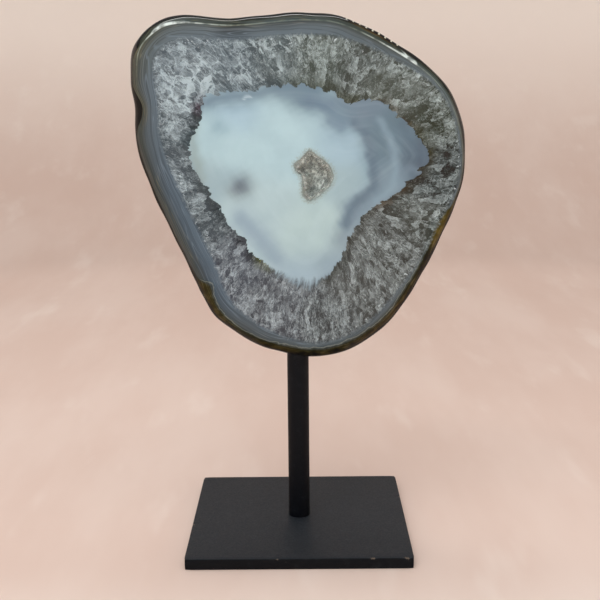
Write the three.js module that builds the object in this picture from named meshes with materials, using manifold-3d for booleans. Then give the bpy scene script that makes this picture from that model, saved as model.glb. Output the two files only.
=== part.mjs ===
// Agate geode slice standing on its black steel stand.
// A thick slice of an agate nodule, polished on its faces and round its rim, is drilled from below and
// glued on the pin of a round steel rod, whose tenon is fixed in a square steel plate. A small hollow
// near the middle of the slice is lined with one crust of quartz crystals.
// Millimetres, +Z up. The origin is the centre of the plate's underside, and the face looks along -Y.

import * as THREE from 'three';
import { mergeVertices } from 'three/addons/utils/BufferGeometryUtils.js';
import Module from 'manifold-3d';

// Steel plate
const PLATE_SIDE = 100;
const PLATE_THICKNESS = 5;
const PLATE_CORNER_RADIUS = 1.2;
const PLATE_EDGE_BREAK = 0.5;

// Steel rod, with a tenon down into the plate and a pin up into the stone
const ROD_RADIUS = 5;
const ROD_EDGE_BREAK = 0.3;
const ROD_SHOULDER_Z = 85.2;
const ROD_SIDES = 32;
const PIN_RADIUS = 3;
const PIN_LENGTH = 14;
const TENON_LENGTH = 3.5;
const FIT_GAP = 0.3;

// Stone slice
const SLICE_THICKNESS = 18;
const FACE_Y = -SLICE_THICKNESS / 2;
const RIM_DEPTH = 5.5;
const RIM_ROUND_STEPS = 4;
const SIDE_BULGE = 0.35;
const RIND_RELIEF = 0.13;
const OUTLINE_SAMPLES = 150;
const SLICE_CENTRE = new THREE.Vector2(5, 165);

// Outline of the slice seen from the front, x and z, from the lowest point round by the right
const SLICE_OUTLINE = [
  [11, 83.4], [27.5, 88.4], [43, 101], [55.5, 119.5], [66, 141], [74, 162], [75.2, 178],
  [71.5, 196], [63, 209.6], [46, 222.5], [20, 235.4], [4, 237.1], [-27, 235.2], [-50, 236.4],
  [-60, 233.7], [-70, 224], [-72.3, 209], [-71.2, 198], [-70.9, 182], [-64, 159.5],
  [-45.5, 118], [-44.2, 114.5], [-36, 101.5], [-22, 91.2], [-4, 85],
];

// Width of the rounded rim as seen from the front: [direction in degrees from +X, width]
const RIM_WIDTHS = [
  [0, 1.8], [45, 3.2], [90, 3.5], [135, 3.6], [180, 3.2], [225, 3], [270, 4.6], [315, 4.2],
];

// Dents in the rim where the rind was hollow: [x, z, radius, depth]
const RIM_DENTS = [
  [-71.5, 197, 8, 0.4],
  [-68.5, 226, 7, 0.3],
  [-27, 236, 9, 0.2],
];

// Ledges where an outer layer of the rind is still there: [x, z, radius, height]
const RIM_LEDGES = [
  [-38, 104, 9, 0.4],
  [60, 125, 6, 0.3],
  [-14, 88, 6, 0.3],
];

// Row of small pits in the rind of the upper right, placed by their share of the way round the outline
const PIT_COUNT = 9;
const PIT_RADIUS = 0.75;
const PIT_RIM_STEP = 3;
const PITS_START = 0.368;
const PIT_SPACING = 0.0064;

// Hollow in the face
const HOLLOW_CENTRE = new THREE.Vector2(7.3, 167.2);
const HOLLOW_FLOOR_SHIFT = new THREE.Vector2(1.4, -1.8);
const HOLLOW_DEPTH = 9;
const HOLLOW_ROUNDNESS = 2.4;
const HOLLOW_SAMPLES = 32;
const HOLLOW_ROWS = 7;
const HOLLOW_OUTLINE = [
  [16.5, 166.8], [15.4, 170.7], [9.7, 175.8], [5.8, 178], [1.8, 174.2], [-0.9, 172.2],
  [0, 168.7], [2.2, 166.9], [2.6, 162.5], [3, 158.1], [5.8, 155.8], [9.6, 157.6],
  [13.2, 160.6], [15.8, 163.7],
];

// Crust of crystals in the hollow
const CRUST_BELOW_FACE = 0.4;
const CRUST_THICKNESS = 1.3;
const CRYSTAL_COUNT = 78;
const CRYSTAL_RADIUS = 1.15;
const CRYSTAL_HEIGHT = 2.9;
const CRYSTAL_SIDES = 6;
const CRYSTAL_TILT = 0.25;
const GOLDEN_ANGLE = Math.PI * (3 - Math.sqrt(5));

const wasm = await Module();
wasm.setup();

const stone = new THREE.MeshStandardMaterial({ color: 0x8a969b, roughness: 0.15, metalness: 0 });
const quartz = new THREE.MeshStandardMaterial({ color: 0xa9a59d, roughness: 0.25, metalness: 0 });
const blackPaint = new THREE.MeshStandardMaterial({ color: 0x1c1b1d, roughness: 0.55, metalness: 0.3 });

// Turns a closed geometry into a solid that can be joined and cut
function solidOf(geometry) {
  const bare = geometry.clone();
  bare.deleteAttribute('normal');
  bare.deleteAttribute('uv');
  const merged = mergeVertices(bare, 1e-5);
  return new wasm.Manifold(new wasm.Mesh({
    numProp: 3,
    vertProperties: new Float32Array(merged.attributes.position.array),
    triVerts: new Uint32Array(merged.index.array),
  }));
}

function geometryOf(solid) {
  const mesh = solid.getMesh();
  const geometry = new THREE.BufferGeometry();
  geometry.setAttribute('position', new THREE.BufferAttribute(new Float32Array(mesh.vertProperties), 3));
  geometry.setIndex(new THREE.BufferAttribute(new Uint32Array(mesh.triVerts), 1));
  geometry.computeVertexNormals();
  return geometry;
}

// A closed skin over rows of points that run from front to back, each row counter-clockwise as
// seen from the front, with a single point closing it at each end
function loft(frontPole, rows, backPole) {
  const rowLength = rows[0].length;
  const points = [frontPole, ...rows.flat(), backPole];
  const at = (row, i) => 1 + row * rowLength + (i % rowLength);
  const backIndex = 1 + rows.length * rowLength;
  const triangles = [];
  for (let i = 0; i < rowLength; i += 1) {
    triangles.push(0, at(0, i), at(0, i + 1));
    for (let row = 0; row + 1 < rows.length; row += 1) {
      triangles.push(at(row, i), at(row + 1, i), at(row, i + 1));
      triangles.push(at(row, i + 1), at(row + 1, i), at(row + 1, i + 1));
    }
    triangles.push(backIndex, at(rows.length - 1, i + 1), at(rows.length - 1, i));
  }
  const geometry = new THREE.BufferGeometry();
  geometry.setAttribute('position', new THREE.Float32BufferAttribute(points.flatMap((p) => p.toArray()), 3));
  geometry.setIndex(triangles);
  return geometry;
}

function closedCurve(points) {
  const corners = points.map(([x, z]) => new THREE.Vector3(x, 0, z));
  return new THREE.CatmullRomCurve3(corners, true, 'centripetal');
}

function uprightCylinder(radius, bottom, top) {
  const cylinder = new THREE.CylinderGeometry(radius, radius, top - bottom, ROD_SIDES);
  cylinder.rotateX(Math.PI / 2);
  cylinder.translate(0, 0, (top + bottom) / 2);
  return cylinder;
}

// Square plate with softened edges and a blind hole for the rod's tenon
function makePlate() {
  const half = PLATE_SIDE / 2 - PLATE_EDGE_BREAK;
  const arcCentre = half - PLATE_CORNER_RADIUS;
  const square = new THREE.Shape();
  square.absarc(arcCentre, arcCentre, PLATE_CORNER_RADIUS, 0, Math.PI / 2);
  square.absarc(-arcCentre, arcCentre, PLATE_CORNER_RADIUS, Math.PI / 2, Math.PI);
  square.absarc(-arcCentre, -arcCentre, PLATE_CORNER_RADIUS, Math.PI, Math.PI * 1.5);
  square.absarc(arcCentre, -arcCentre, PLATE_CORNER_RADIUS, Math.PI * 1.5, Math.PI * 2);
  const blank = new THREE.ExtrudeGeometry(square, {
    depth: PLATE_THICKNESS - 2 * PLATE_EDGE_BREAK,
    bevelThickness: PLATE_EDGE_BREAK,
    bevelSize: PLATE_EDGE_BREAK,
    bevelSegments: 2,
    curveSegments: 4,
  });
  blank.translate(0, 0, PLATE_EDGE_BREAK);
  const holeFloor = PLATE_THICKNESS - TENON_LENGTH - FIT_GAP;
  const hole = uprightCylinder(PIN_RADIUS + FIT_GAP, holeFloor, PLATE_THICKNESS + 1);
  return geometryOf(solidOf(blank).subtract(solidOf(hole)));
}

// Turned rod: tenon, shaft and pin on one axis
function makeRod() {
  const profile = [
    [0, PLATE_THICKNESS - TENON_LENGTH],
    [PIN_RADIUS, PLATE_THICKNESS - TENON_LENGTH],
    [PIN_RADIUS, PLATE_THICKNESS],
    [ROD_RADIUS, PLATE_THICKNESS],
    [ROD_RADIUS, ROD_SHOULDER_Z - ROD_EDGE_BREAK],
    [ROD_RADIUS - ROD_EDGE_BREAK, ROD_SHOULDER_Z],
    [PIN_RADIUS, ROD_SHOULDER_Z],
    [PIN_RADIUS, ROD_SHOULDER_Z + PIN_LENGTH - ROD_EDGE_BREAK],
    [PIN_RADIUS - ROD_EDGE_BREAK, ROD_SHOULDER_Z + PIN_LENGTH],
    [0, ROD_SHOULDER_Z + PIN_LENGTH],
  ];
  const rod = new THREE.LatheGeometry(profile.map(([r, z]) => new THREE.Vector2(r, z)), ROD_SIDES);
  rod.rotateX(Math.PI / 2);
  return rod;
}

// Smooth step between the widths listed round the rim
function rimWidth(direction) {
  const turn = (THREE.MathUtils.radToDeg(direction) + 360) % 360;
  const spacing = 360 / RIM_WIDTHS.length;
  const before = Math.floor(turn / spacing);
  const [start, width] = RIM_WIDTHS[before];
  const nextWidth = RIM_WIDTHS[(before + 1) % RIM_WIDTHS.length][1];
  return THREE.MathUtils.lerp(width, nextWidth, THREE.MathUtils.smoothstep((turn - start) / spacing, 0, 1));
}

// Sum of the soft bumps in a list, at one point of the rim
function bumpsAt(x, z, bumps) {
  return bumps.reduce((sum, [bumpX, bumpZ, radius, height]) => {
    const distance = Math.hypot(x - bumpX, z - bumpZ) / radius;
    return sum + height * Math.exp(-distance * distance * 2);
  }, 0);
}

// A point on the slice's skin: "along" goes once round the outline from 0 to 1, "inset" runs from 0 on
// the side to 1 where the rounded rim meets a face, and y is the place through the thickness
function rimPoint(curve, along, inset, y) {
  const point = curve.getPointAt(along);
  const tangent = curve.getTangentAt(along);
  const outward = new THREE.Vector3(tangent.z, 0, -tangent.x);
  const direction = Math.atan2(point.z - SLICE_CENTRE.y, point.x - SLICE_CENTRE.x);
  const ripples = Math.sin(direction * 9 + y * 0.5) + Math.sin(direction * 23 - y * 0.35);
  const bulge = SIDE_BULGE * (1 - (y / FACE_Y) ** 2);
  const growth = bulge + RIND_RELIEF * ripples
    + bumpsAt(point.x, point.z, RIM_LEDGES) - bumpsAt(point.x, point.z, RIM_DENTS);
  const offset = growth * (1 - inset) - SIDE_BULGE - inset * rimWidth(direction);
  return new THREE.Vector3(point.x, y, point.z).addScaledVector(outward, offset);
}

// Quarter round from the polished face to the side: inset and place through the thickness
function roundedRim(step) {
  const turn = (step / RIM_ROUND_STEPS) * Math.PI / 2;
  return { inset: 1 - Math.sin(turn), y: FACE_Y + RIM_DEPTH * (1 - Math.cos(turn)) };
}

// Rows of the slice's skin: rounded front edge, bulging side, rounded back edge
function sliceRows(curve) {
  const front = Array.from({ length: RIM_ROUND_STEPS + 1 }, (_, step) => roundedRim(step));
  const back = front.map(({ inset, y }) => ({ inset, y: -y })).reverse();
  const samples = Array.from({ length: OUTLINE_SAMPLES }, (_, i) => i / OUTLINE_SAMPLES);
  return [...front, { inset: 0, y: 0 }, ...back]
    .map(({ inset, y }) => samples.map((along) => rimPoint(curve, along, inset, y)));
}

// A point on the wall of the hollow: "around" goes once round it, "depth" from 0 at the face to 1
function hollowPoint(curve, around, depth, inset) {
  const rim = curve.getPointAt(around % 1);
  const radial = new THREE.Vector2(rim.x, rim.z).sub(HOLLOW_CENTRE);
  const narrowing = (1 - depth ** HOLLOW_ROUNDNESS) ** (1 / HOLLOW_ROUNDNESS);
  const reach = Math.max(radial.length() * narrowing - inset, 0);
  const centre = HOLLOW_CENTRE.clone().addScaledVector(HOLLOW_FLOOR_SHIFT, depth);
  const flat = centre.addScaledVector(radial.normalize(), reach);
  return new THREE.Vector3(flat.x, FACE_Y + depth * (HOLLOW_DEPTH - inset), flat.y);
}

// The hollow as a solid, its wall drawn in by the inset, reaching up to the given y at its mouth
function hollowGeometry(inset, mouthY) {
  const curve = closedCurve(HOLLOW_OUTLINE);
  const rows = [];
  for (let step = 0; step < HOLLOW_ROWS; step += 1) {
    const depth = Math.sin((step / HOLLOW_ROWS) * Math.PI / 2) ** 1.3;
    const row = [];
    for (let i = 0; i < HOLLOW_SAMPLES; i += 1) {
      row.push(hollowPoint(curve, i / HOLLOW_SAMPLES, depth, inset));
    }
    rows.push(row);
  }
  const mouth = rows[0].map((p) => new THREE.Vector3(p.x, mouthY, p.z));
  if (mouthY < FACE_Y) {
    rows.unshift(mouth);
  } else {
    rows[0] = mouth;
  }
  const frontPole = new THREE.Vector3(HOLLOW_CENTRE.x, mouthY, HOLLOW_CENTRE.y);
  return loft(frontPole, rows, hollowPoint(curve, 0, 1, inset));
}

// The slice with the socket and bore for the rod, the hollow, and the small pits in the rind
function makeSlice() {
  const curve = closedCurve(SLICE_OUTLINE);
  const frontPole = new THREE.Vector3(SLICE_CENTRE.x, FACE_Y, SLICE_CENTRE.y);
  const backPole = new THREE.Vector3(SLICE_CENTRE.x, -FACE_Y, SLICE_CENTRE.y);
  const socketTop = ROD_SHOULDER_Z + FIT_GAP;
  const cuts = [
    uprightCylinder(ROD_RADIUS + FIT_GAP, socketTop - 10, socketTop),
    uprightCylinder(PIN_RADIUS + FIT_GAP, socketTop - 1, socketTop + PIN_LENGTH),
    hollowGeometry(0, FACE_Y - 1),
  ];
  const { inset, y } = roundedRim(PIT_RIM_STEP);
  for (let i = 0; i < PIT_COUNT; i += 1) {
    const place = rimPoint(curve, PITS_START + i * PIT_SPACING, inset, y);
    const pit = new THREE.IcosahedronGeometry(PIT_RADIUS);
    cuts.push(pit.rotateX(i).translate(place.x, place.y, place.z));
  }
  const blank = solidOf(loft(frontPole, sliceRows(curve), backPole));
  return geometryOf(cuts.reduce((solid, cut) => solid.subtract(solidOf(cut)), blank));
}

// One crust: a lining on the wall of the hollow and the crystals that stand on it
function makeCrust() {
  const curve = closedCurve(HOLLOW_OUTLINE);
  const room = solidOf(hollowGeometry(FIT_GAP, FACE_Y + CRUST_BELOW_FACE));
  let crust = room.subtract(solidOf(hollowGeometry(FIT_GAP + CRUST_THICKNESS, FACE_Y - 1)));
  const openSpace = new THREE.Vector3(HOLLOW_CENTRE.x, FACE_Y + 1, HOLLOW_CENTRE.y);
  for (let i = 0; i < CRYSTAL_COUNT; i += 1) {
    const depth = ((i + 0.5) / CRYSTAL_COUNT) ** 0.6;
    const around = ((i * GOLDEN_ANGLE) / (2 * Math.PI)) % 1;
    const root = hollowPoint(curve, around, depth, FIT_GAP + CRUST_THICKNESS * 0.6);
    const scale = 0.8 + 0.4 * Math.abs(Math.sin(i * 2.3));
    const crystal = new THREE.ConeGeometry(
      CRYSTAL_RADIUS * scale, CRYSTAL_HEIGHT * scale, CRYSTAL_SIDES,
    );
    const growth = openSpace.clone().sub(root).normalize();
    growth.x += CRYSTAL_TILT * Math.sin(i * 1.7);
    growth.z += CRYSTAL_TILT * Math.cos(i * 2.9);
    growth.normalize();
    crystal.translate(0, CRYSTAL_HEIGHT * scale / 2, 0);
    crystal.rotateY(i);
    crystal.applyQuaternion(new THREE.Quaternion().setFromUnitVectors(new THREE.Vector3(0, 1, 0), growth));
    crystal.translate(root.x, root.y, root.z);
    crust = crust.add(solidOf(crystal));
  }
  return geometryOf(crust.intersect(room));
}

function namedMesh(name, geometry, material) {
  const mesh = new THREE.Mesh(geometry, material);
  mesh.name = name;
  return mesh;
}

const group = new THREE.Group();
group.add(
  namedMesh('base_plate', makePlate(), blackPaint),
  namedMesh('post', makeRod(), blackPaint),
  namedMesh('agate_slice', makeSlice(), stone),
  namedMesh('druse_crust', makeCrust(), quartz),
);

export default group;
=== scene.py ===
"""Agate geode slice on its black steel stand.

A thick slice of an agate nodule stands upright on the pin of a round steel rod, whose foot is fixed in
a square steel plate. +Z is up, the polished face looks along -Y, and the origin is the centre of the
plate's underside. Sizes are in millimetres and become metres where a mesh is made.
"""

import bpy
import numpy as np
from mathutils import Matrix, Vector


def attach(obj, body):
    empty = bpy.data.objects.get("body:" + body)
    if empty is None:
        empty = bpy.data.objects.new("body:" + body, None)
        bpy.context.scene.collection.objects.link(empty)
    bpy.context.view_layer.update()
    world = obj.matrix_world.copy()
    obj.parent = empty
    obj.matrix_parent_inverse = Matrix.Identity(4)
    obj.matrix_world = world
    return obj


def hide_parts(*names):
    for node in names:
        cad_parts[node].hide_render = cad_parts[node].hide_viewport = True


MM = 0.001

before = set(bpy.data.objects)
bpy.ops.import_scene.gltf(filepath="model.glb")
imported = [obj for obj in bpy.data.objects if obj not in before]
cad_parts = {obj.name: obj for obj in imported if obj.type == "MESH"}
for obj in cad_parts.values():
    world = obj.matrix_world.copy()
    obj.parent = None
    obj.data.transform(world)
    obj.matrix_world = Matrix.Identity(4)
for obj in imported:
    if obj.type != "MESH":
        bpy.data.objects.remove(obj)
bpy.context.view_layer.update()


# Camera
# It stands at the height of the upper slice and looks down on the stand, a long lens on a 36 mm sensor.
CAMERA_PLACE = (2.9, -485.8, 207.0)
CAMERA_PITCH = 11.37
CAMERA_YAW = -0.2
CAMERA_ROLL = -0.52
CAMERA_LENS = 64.68

camera = bpy.data.objects.new("camera", bpy.data.cameras.new("camera"))
camera.data.lens = CAMERA_LENS
camera.data.clip_start = 0.01
level = Matrix.Rotation(np.radians(90 - CAMERA_PITCH), 4, "X")
turned = Matrix.Rotation(np.radians(-CAMERA_YAW), 4, "Z") @ level
camera.matrix_world = (Matrix.Translation(Vector(CAMERA_PLACE) * MM)
                       @ turned @ Matrix.Rotation(np.radians(CAMERA_ROLL), 4, "Z"))
bpy.context.scene.collection.objects.link(camera)
bpy.context.scene.camera = camera


# Floor and backdrop
# One seamless sheet of pale warm paper: a round floor that curves up into a low wall all the way round.
# Colours are written as they look, from 0 to 255, and are turned into the light that they stand for.
PAPER_FLOOR_RADIUS = 640
PAPER_BEND_RADIUS = 700
PAPER_WALL_HEIGHT = 50
PAPER_LOOPS = 90
PAPER_COLUMNS = 96


def seen(red, green, blue, strength=1.0):
    """The linear colour of a displayed one, by the display's usual curve."""
    level = np.array([red, green, blue]) / 255
    linear = np.where(level <= 0.04045, level / 12.92, ((level + 0.055) / 1.055) ** 2.4)
    return (*linear.tolist(), strength)


class Graph:
    """A material's nodes, written as calls that take and return sockets."""

    def __init__(self, name):
        self.material = bpy.data.materials.new(name)
        self.material.use_nodes = True
        self.nodes = self.material.node_tree.nodes
        self.links = self.material.node_tree.links
        self.shader = self.nodes["Principled BSDF"]

    def put(self, value, socket):
        """Links a socket, or sets a constant on one."""
        if isinstance(value, bpy.types.NodeSocket):
            self.links.new(value, socket)
        else:
            socket.default_value = value

    def finish(self, **values):
        """Feeds the shader's sockets, named in lower case with underscores."""
        sockets = {s.name.lower().replace(" ", "_"): s for s in self.shader.inputs}
        for name, value in values.items():
            self.put(value, sockets[name])
        return self.material

    def attribute(self, name, output="Fac"):
        node = self.nodes.new("ShaderNodeAttribute")
        node.attribute_name = name
        return node.outputs[output]

    def place(self):
        """The point on the object, in millimetres."""
        position = self.nodes.new("ShaderNodeTexCoord").outputs["Object"]
        return self.vector("SCALE", position, scale=1 / MM)

    def math(self, operation, *values, clamp=False):
        node = self.nodes.new("ShaderNodeMath")
        node.operation = operation
        node.use_clamp = clamp
        for value, socket in zip(values, node.inputs):
            self.put(value, socket)
        return node.outputs[0]

    def vector(self, operation, *values, scale=None):
        node = self.nodes.new("ShaderNodeVectorMath")
        node.operation = operation
        for value, socket in zip(values, node.inputs):
            self.put(value, socket)
        if scale is not None:
            self.put(scale, node.inputs["Scale"])
        return node.outputs["Value" if operation in ("LENGTH", "DISTANCE", "DOT_PRODUCT") else "Vector"]

    def split(self, vector):
        return self.nodes_of("ShaderNodeSeparateXYZ", vector).outputs

    def join(self, x, y, z):
        return self.nodes_of("ShaderNodeCombineXYZ", x, y, z).outputs[0]

    def nodes_of(self, kind, *values):
        node = self.nodes.new(kind)
        for value, socket in zip(values, node.inputs):
            self.put(value, socket)
        return node

    def step(self, value, low, high, bottom=0.0, top=1.0):
        """A smooth rise from bottom to top as the value goes from low to high."""
        node = self.nodes.new("ShaderNodeMapRange")
        node.interpolation_type = "SMOOTHSTEP"
        for item, socket in zip((value, low, high, bottom, top), node.inputs):
            self.put(item, socket)
        return node.outputs[0]

    def between(self, share, first, second):
        """The number that lies at a share of the way from the first to the second."""
        return self.math("MULTIPLY_ADD", share, self.math("SUBTRACT", second, first), first)

    def mix(self, share, first, second, blend="MIX"):
        node = self.nodes.new("ShaderNodeMix")
        node.data_type = "RGBA"
        node.blend_type = blend
        node.clamp_factor = True
        for value, name in ((share, "Factor_Float"), (first, "A_Color"), (second, "B_Color")):
            self.put(value, next(s for s in node.inputs if s.identifier == name))
        return next(s for s in node.outputs if s.identifier == "Result_Color")

    def noise(self, vector, scale=1.0, detail=2.0, roughness=0.5, distortion=0.0, output="Fac"):
        node = self.nodes.new("ShaderNodeTexNoise")
        values = {"Vector": vector, "Scale": scale, "Detail": detail,
                  "Roughness": roughness, "Distortion": distortion}
        for name, value in values.items():
            self.put(value, node.inputs[name])
        return node.outputs[output]

    def warp(self, vector, scale, amount):
        """The point pushed about by a noise of that scale, at most by about half the amount."""
        push = self.vector("SUBTRACT", self.noise(vector, scale, output="Color"), (0.5, 0.5, 0.5))
        return self.vector("ADD", vector, self.vector("SCALE", push, scale=amount))

    def cells(self, vector, feature="F1"):
        """Voronoi cells one unit wide; the outputs depend on the feature."""
        node = self.nodes.new("ShaderNodeTexVoronoi")
        node.feature = feature
        self.put(vector, node.inputs["Vector"])
        self.put(1.0, node.inputs["Scale"])
        return node.outputs

    def bump(self, height, distance, strength=1.0, normal=None):
        node = self.nodes.new("ShaderNodeBump")
        self.put(strength, node.inputs["Strength"])
        self.put(distance, node.inputs["Distance"])
        self.put(height, node.inputs["Height"])
        if normal is not None:
            self.put(normal, node.inputs["Normal"])
        return node.outputs["Normal"]


def skin_faces(rows, columns, closed=True):
    """Faces of a skin over loops: a point, the loops joined one to the next, and a last point if closed."""
    row, column = np.meshgrid(np.arange(rows - 1), np.arange(columns), indexing="ij")
    here = 1 + row * columns + column
    beside = 1 + row * columns + (column + 1) % columns
    quads = np.stack([here, here + columns, beside + columns, beside], axis=-1).reshape(-1, 4)
    ring = np.arange(columns)
    first = np.stack([np.zeros(columns, int), 1 + ring, 1 + (ring + 1) % columns], axis=-1)
    if not closed:
        return quads.tolist() + first.tolist()
    last_row = 1 + (rows - 1) * columns
    last_point = np.full(columns, 1 + rows * columns)
    last = np.stack([last_row + ring, last_point, last_row + (ring + 1) % columns], axis=-1)
    return quads.tolist() + first.tolist() + last.tolist()


def add_mesh(name, points, faces, smooth=True):
    """A mesh object at the origin, from points in millimetres and a list of faces."""
    mesh = bpy.data.meshes.new(name)
    mesh.from_pydata((np.asarray(points) * MM).tolist(), [], faces)
    mesh.polygons.foreach_set("use_smooth", np.full(len(mesh.polygons), smooth))
    mesh.update()
    piece = bpy.data.objects.new(name, mesh)
    bpy.context.scene.collection.objects.link(piece)
    return piece


def cove(turn, run):
    """Flat for the floor's radius, then a quarter circle up, then straight; run is the length from the middle."""
    bend = np.clip((run - PAPER_FLOOR_RADIUS) / PAPER_BEND_RADIUS, 0, np.pi / 2)
    radius = np.minimum(run, PAPER_FLOOR_RADIUS) + PAPER_BEND_RADIUS * np.sin(bend)
    wall = np.maximum(run - PAPER_FLOOR_RADIUS - PAPER_BEND_RADIUS * np.pi / 2, 0)
    height = PAPER_BEND_RADIUS * (1 - np.cos(bend)) + wall
    return np.stack([radius * np.cos(turn), radius * np.sin(turn), height], axis=-1)


paper_length = PAPER_FLOOR_RADIUS + PAPER_BEND_RADIUS * np.pi / 2 + PAPER_WALL_HEIGHT
paper_turn, paper_run = np.meshgrid(np.arange(PAPER_COLUMNS) / PAPER_COLUMNS * 2 * np.pi,
                                    np.linspace(0, paper_length, PAPER_LOOPS + 1)[1:])
paper_points = np.vstack([np.zeros((1, 3)), cove(paper_turn, paper_run).reshape(-1, 3)])
paper = add_mesh("backdrop", paper_points, skin_faces(PAPER_LOOPS, PAPER_COLUMNS, closed=False))


def paper_material():
    """Warm paper with a faint mottle of paler patches and specks; painted light makes it paler in front and up the
    wall, and painted shade makes it a little darker from where it bends.
    """
    g = Graph("backdrop_paper")
    place = g.vector("MULTIPLY", g.place(), (1.0, 0.25, 1.0))
    mottle = g.step(g.noise(place, scale=0.012, detail=4.0, roughness=0.6), 0.35, 0.7)
    specks = g.step(g.noise(place, scale=0.035, detail=3.0), 0.56, 0.76, 0.0, 0.3)
    _, depth, height = g.split(g.place())
    colour = g.mix(mottle, seen(225, 200, 187), seen(231, 209, 197))
    colour = g.mix(specks, colour, seen(246, 232, 222))
    # Painted light and shade: paler in front and up the wall, a little darker from the bend upwards
    colour = g.mix(g.step(depth, -110.0, -40.0, 0.35, 0.0), colour, seen(250, 238, 228))
    colour = g.mix(g.step(height, 0.0, 14.0, 0.0, 0.1), colour, seen(0, 0, 0))
    colour = g.mix(g.step(height, 60.0, 330.0, 0.0, 0.9), colour, seen(250, 238, 228))
    return g.finish(base_color=colour, roughness=0.95, specular_ior_level=0.1)


paper.data.materials.append(paper_material())


# Light
# Large soft boxes above and in front that light without a mirror image, and narrow strips above whose
# images are thin bright lines along the polished rim, where painted highlights run as well.
def add_softbox(name, place, target, width, height, watts, mirrored, colour=(1, 1, 1)):
    lamp = bpy.data.lights.new(name, "AREA")
    lamp.shape = "RECTANGLE"
    lamp.size = width * MM
    lamp.size_y = height * MM
    lamp.energy = watts
    lamp.color = colour
    box = bpy.data.objects.new(name, lamp)
    box.location = Vector(place) * MM
    direction = Vector(target) * MM - box.location
    box.rotation_euler = direction.to_track_quat("-Z", "Y").to_euler()
    box.visible_camera = False
    box.visible_glossy = mirrored
    bpy.context.scene.collection.objects.link(box)


add_softbox("overhead_box", (0, -100, 1400), (0, 0, 0), 1600, 1600, 12, False)
add_softbox("front_box", (-200, -1150, 520), (0, 0, 160), 1300, 700, 7.6, False, (0.93, 1, 1.05))
add_softbox("front_strip", (-240, -520, 1000), (0, 0, 200), 700, 60, 1.2, True)
add_softbox("back_strip", (-100, 420, 1000), (0, 0, 200), 900, 60, 1.2, True)

world = bpy.data.worlds.new("studio")
bpy.context.scene.world = world
world.use_nodes = True
world.node_tree.nodes["Background"].inputs["Color"].default_value = seen(236, 234, 232)
world.node_tree.nodes["Background"].inputs["Strength"].default_value = 0.22
bpy.context.scene.view_settings.view_transform = "Standard"


# Agate slice
# One thick slice of a nodule: dark rind, fine agate bands, a ring of quartz crystals that grew inwards,
# and a milky centre with a small hollow. It was sawn, its rim rounded over, and both faces polished.
SLICE_THICKNESS = 18
FACE_Y = -SLICE_THICKNESS / 2
RIM_DEPTH = 5.5
RIM_CHAMFER_SHAPE = 1.5
SIDE_BULGE = 0.35
RIND_RELIEF = 0.13
SLICE_CENTRE = (5, 165)
SLICE_OUTLINE = [
    (11, 83.4), (27.5, 88.4), (43, 101), (55.5, 119.5), (66, 141), (74, 162), (75.2, 178),
    (71.5, 196), (63, 209.6), (46, 222.5), (20, 235.4), (4, 237.1), (-27, 235.2), (-50, 236.4),
    (-60, 233.7), (-70, 224), (-72.3, 209), (-71.2, 198), (-70.9, 182), (-64, 159.5),
    (-45.5, 118), (-44.2, 114.5), (-36, 101.5), (-22, 91.2), (-4, 85),
]
HOLLOW_CENTRE = (7.3, 167.2)
HOLLOW_FLOOR_SHIFT = (1.4, -1.8)
HOLLOW_DEPTH = 9
HOLLOW_ROUNDNESS = 2.4
HOLLOW_OUTLINE = [
    (16.5, 166.8), (15.4, 170.7), (9.7, 175.8), (5.8, 178), (1.8, 174.2), (-0.9, 172.2),
    (0, 168.7), (2.2, 166.9), (2.6, 162.5), (3, 158.1), (5.8, 155.8), (9.6, 157.6),
    (13.2, 160.6), (15.8, 163.7),
]
# Where the quartz ends and the milky centre begins
MILK_OUTLINE = [
    (60, 176), (55, 185.5), (45, 194.5), (37, 200.5), (24, 200.3), (16, 205.5), (-2, 208.3),
    (-20, 206), (-40.5, 203), (-43, 193.5), (-48.5, 185), (-47, 172), (-40, 158), (-33, 147.5),
    (-27, 139), (-19, 129), (-8, 122), (4, 117.8), (14, 121), (21, 128), (26, 140), (33, 149),
    (45, 157.5), (57, 168),
]
# Rows of (direction in degrees from +X, value)
RIM_WIDTHS = [(0, 1.8), (45, 3.2), (90, 3.5), (135, 3.6), (180, 3.2), (225, 3), (270, 4.6), (315, 4.2)]
BAND_WIDTHS = [(0, 2.8), (30, 4), (50, 6), (90, 9.5), (120, 9.5), (150, 11), (180, 12), (215, 12), (240, 10.5),
               (270, 7.8), (300, 7.2), (330, 4.5)]
RIND_WIDTHS = [(0, 1.5), (60, 1.7), (90, 1.9), (135, 1.7), (180, 1.5), (215, 1.7), (220, 2.0), (227, 6.4),
               (234, 4.4), (252, 3.9), (270, 5.2), (285, 5.2), (300, 4.2), (318, 4.2), (330, 4.4), (341, 6.2),
               (351, 2.0)]
# How much of the polish the rind has, its sides being duller than its top
RIM_GLOSS = [(0, 0.25), (50, 0.7), (90, 0.9), (135, 0.9), (165, 0.3), (180, 0.2), (225, 0.25), (270, 0.35),
             (315, 0.25)]
# How bright the painted highlight is along the line where the polished face meets the rounded rim
EDGE_HIGHLIGHT = [(0, 0.15), (20, 0.2), (42, 0.3), (48, 1.0), (57, 0.8), (64, 0.55), (72, 0.25), (95, 0.15),
             (112, 0.3), (122, 0.5), (128, 0.9), (134, 1.0), (140, 0.5), (150, 0.1), (180, 0.0), (300, 0.0),
             (330, 0.1)]
# The second painted highlight line that runs into it: the turn where they meet, the turn where it ends, and its slope
SIDE_HIGHLIGHT = (48.6, 56, 0.38)
# The row of painted glints on pits in the rind: the turn at which it starts and their number, and the turn from one to
# the next
PIT_GLINT_ROW = (2.312, 9)
PIT_GLINT_SPACING = 0.0402
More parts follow.
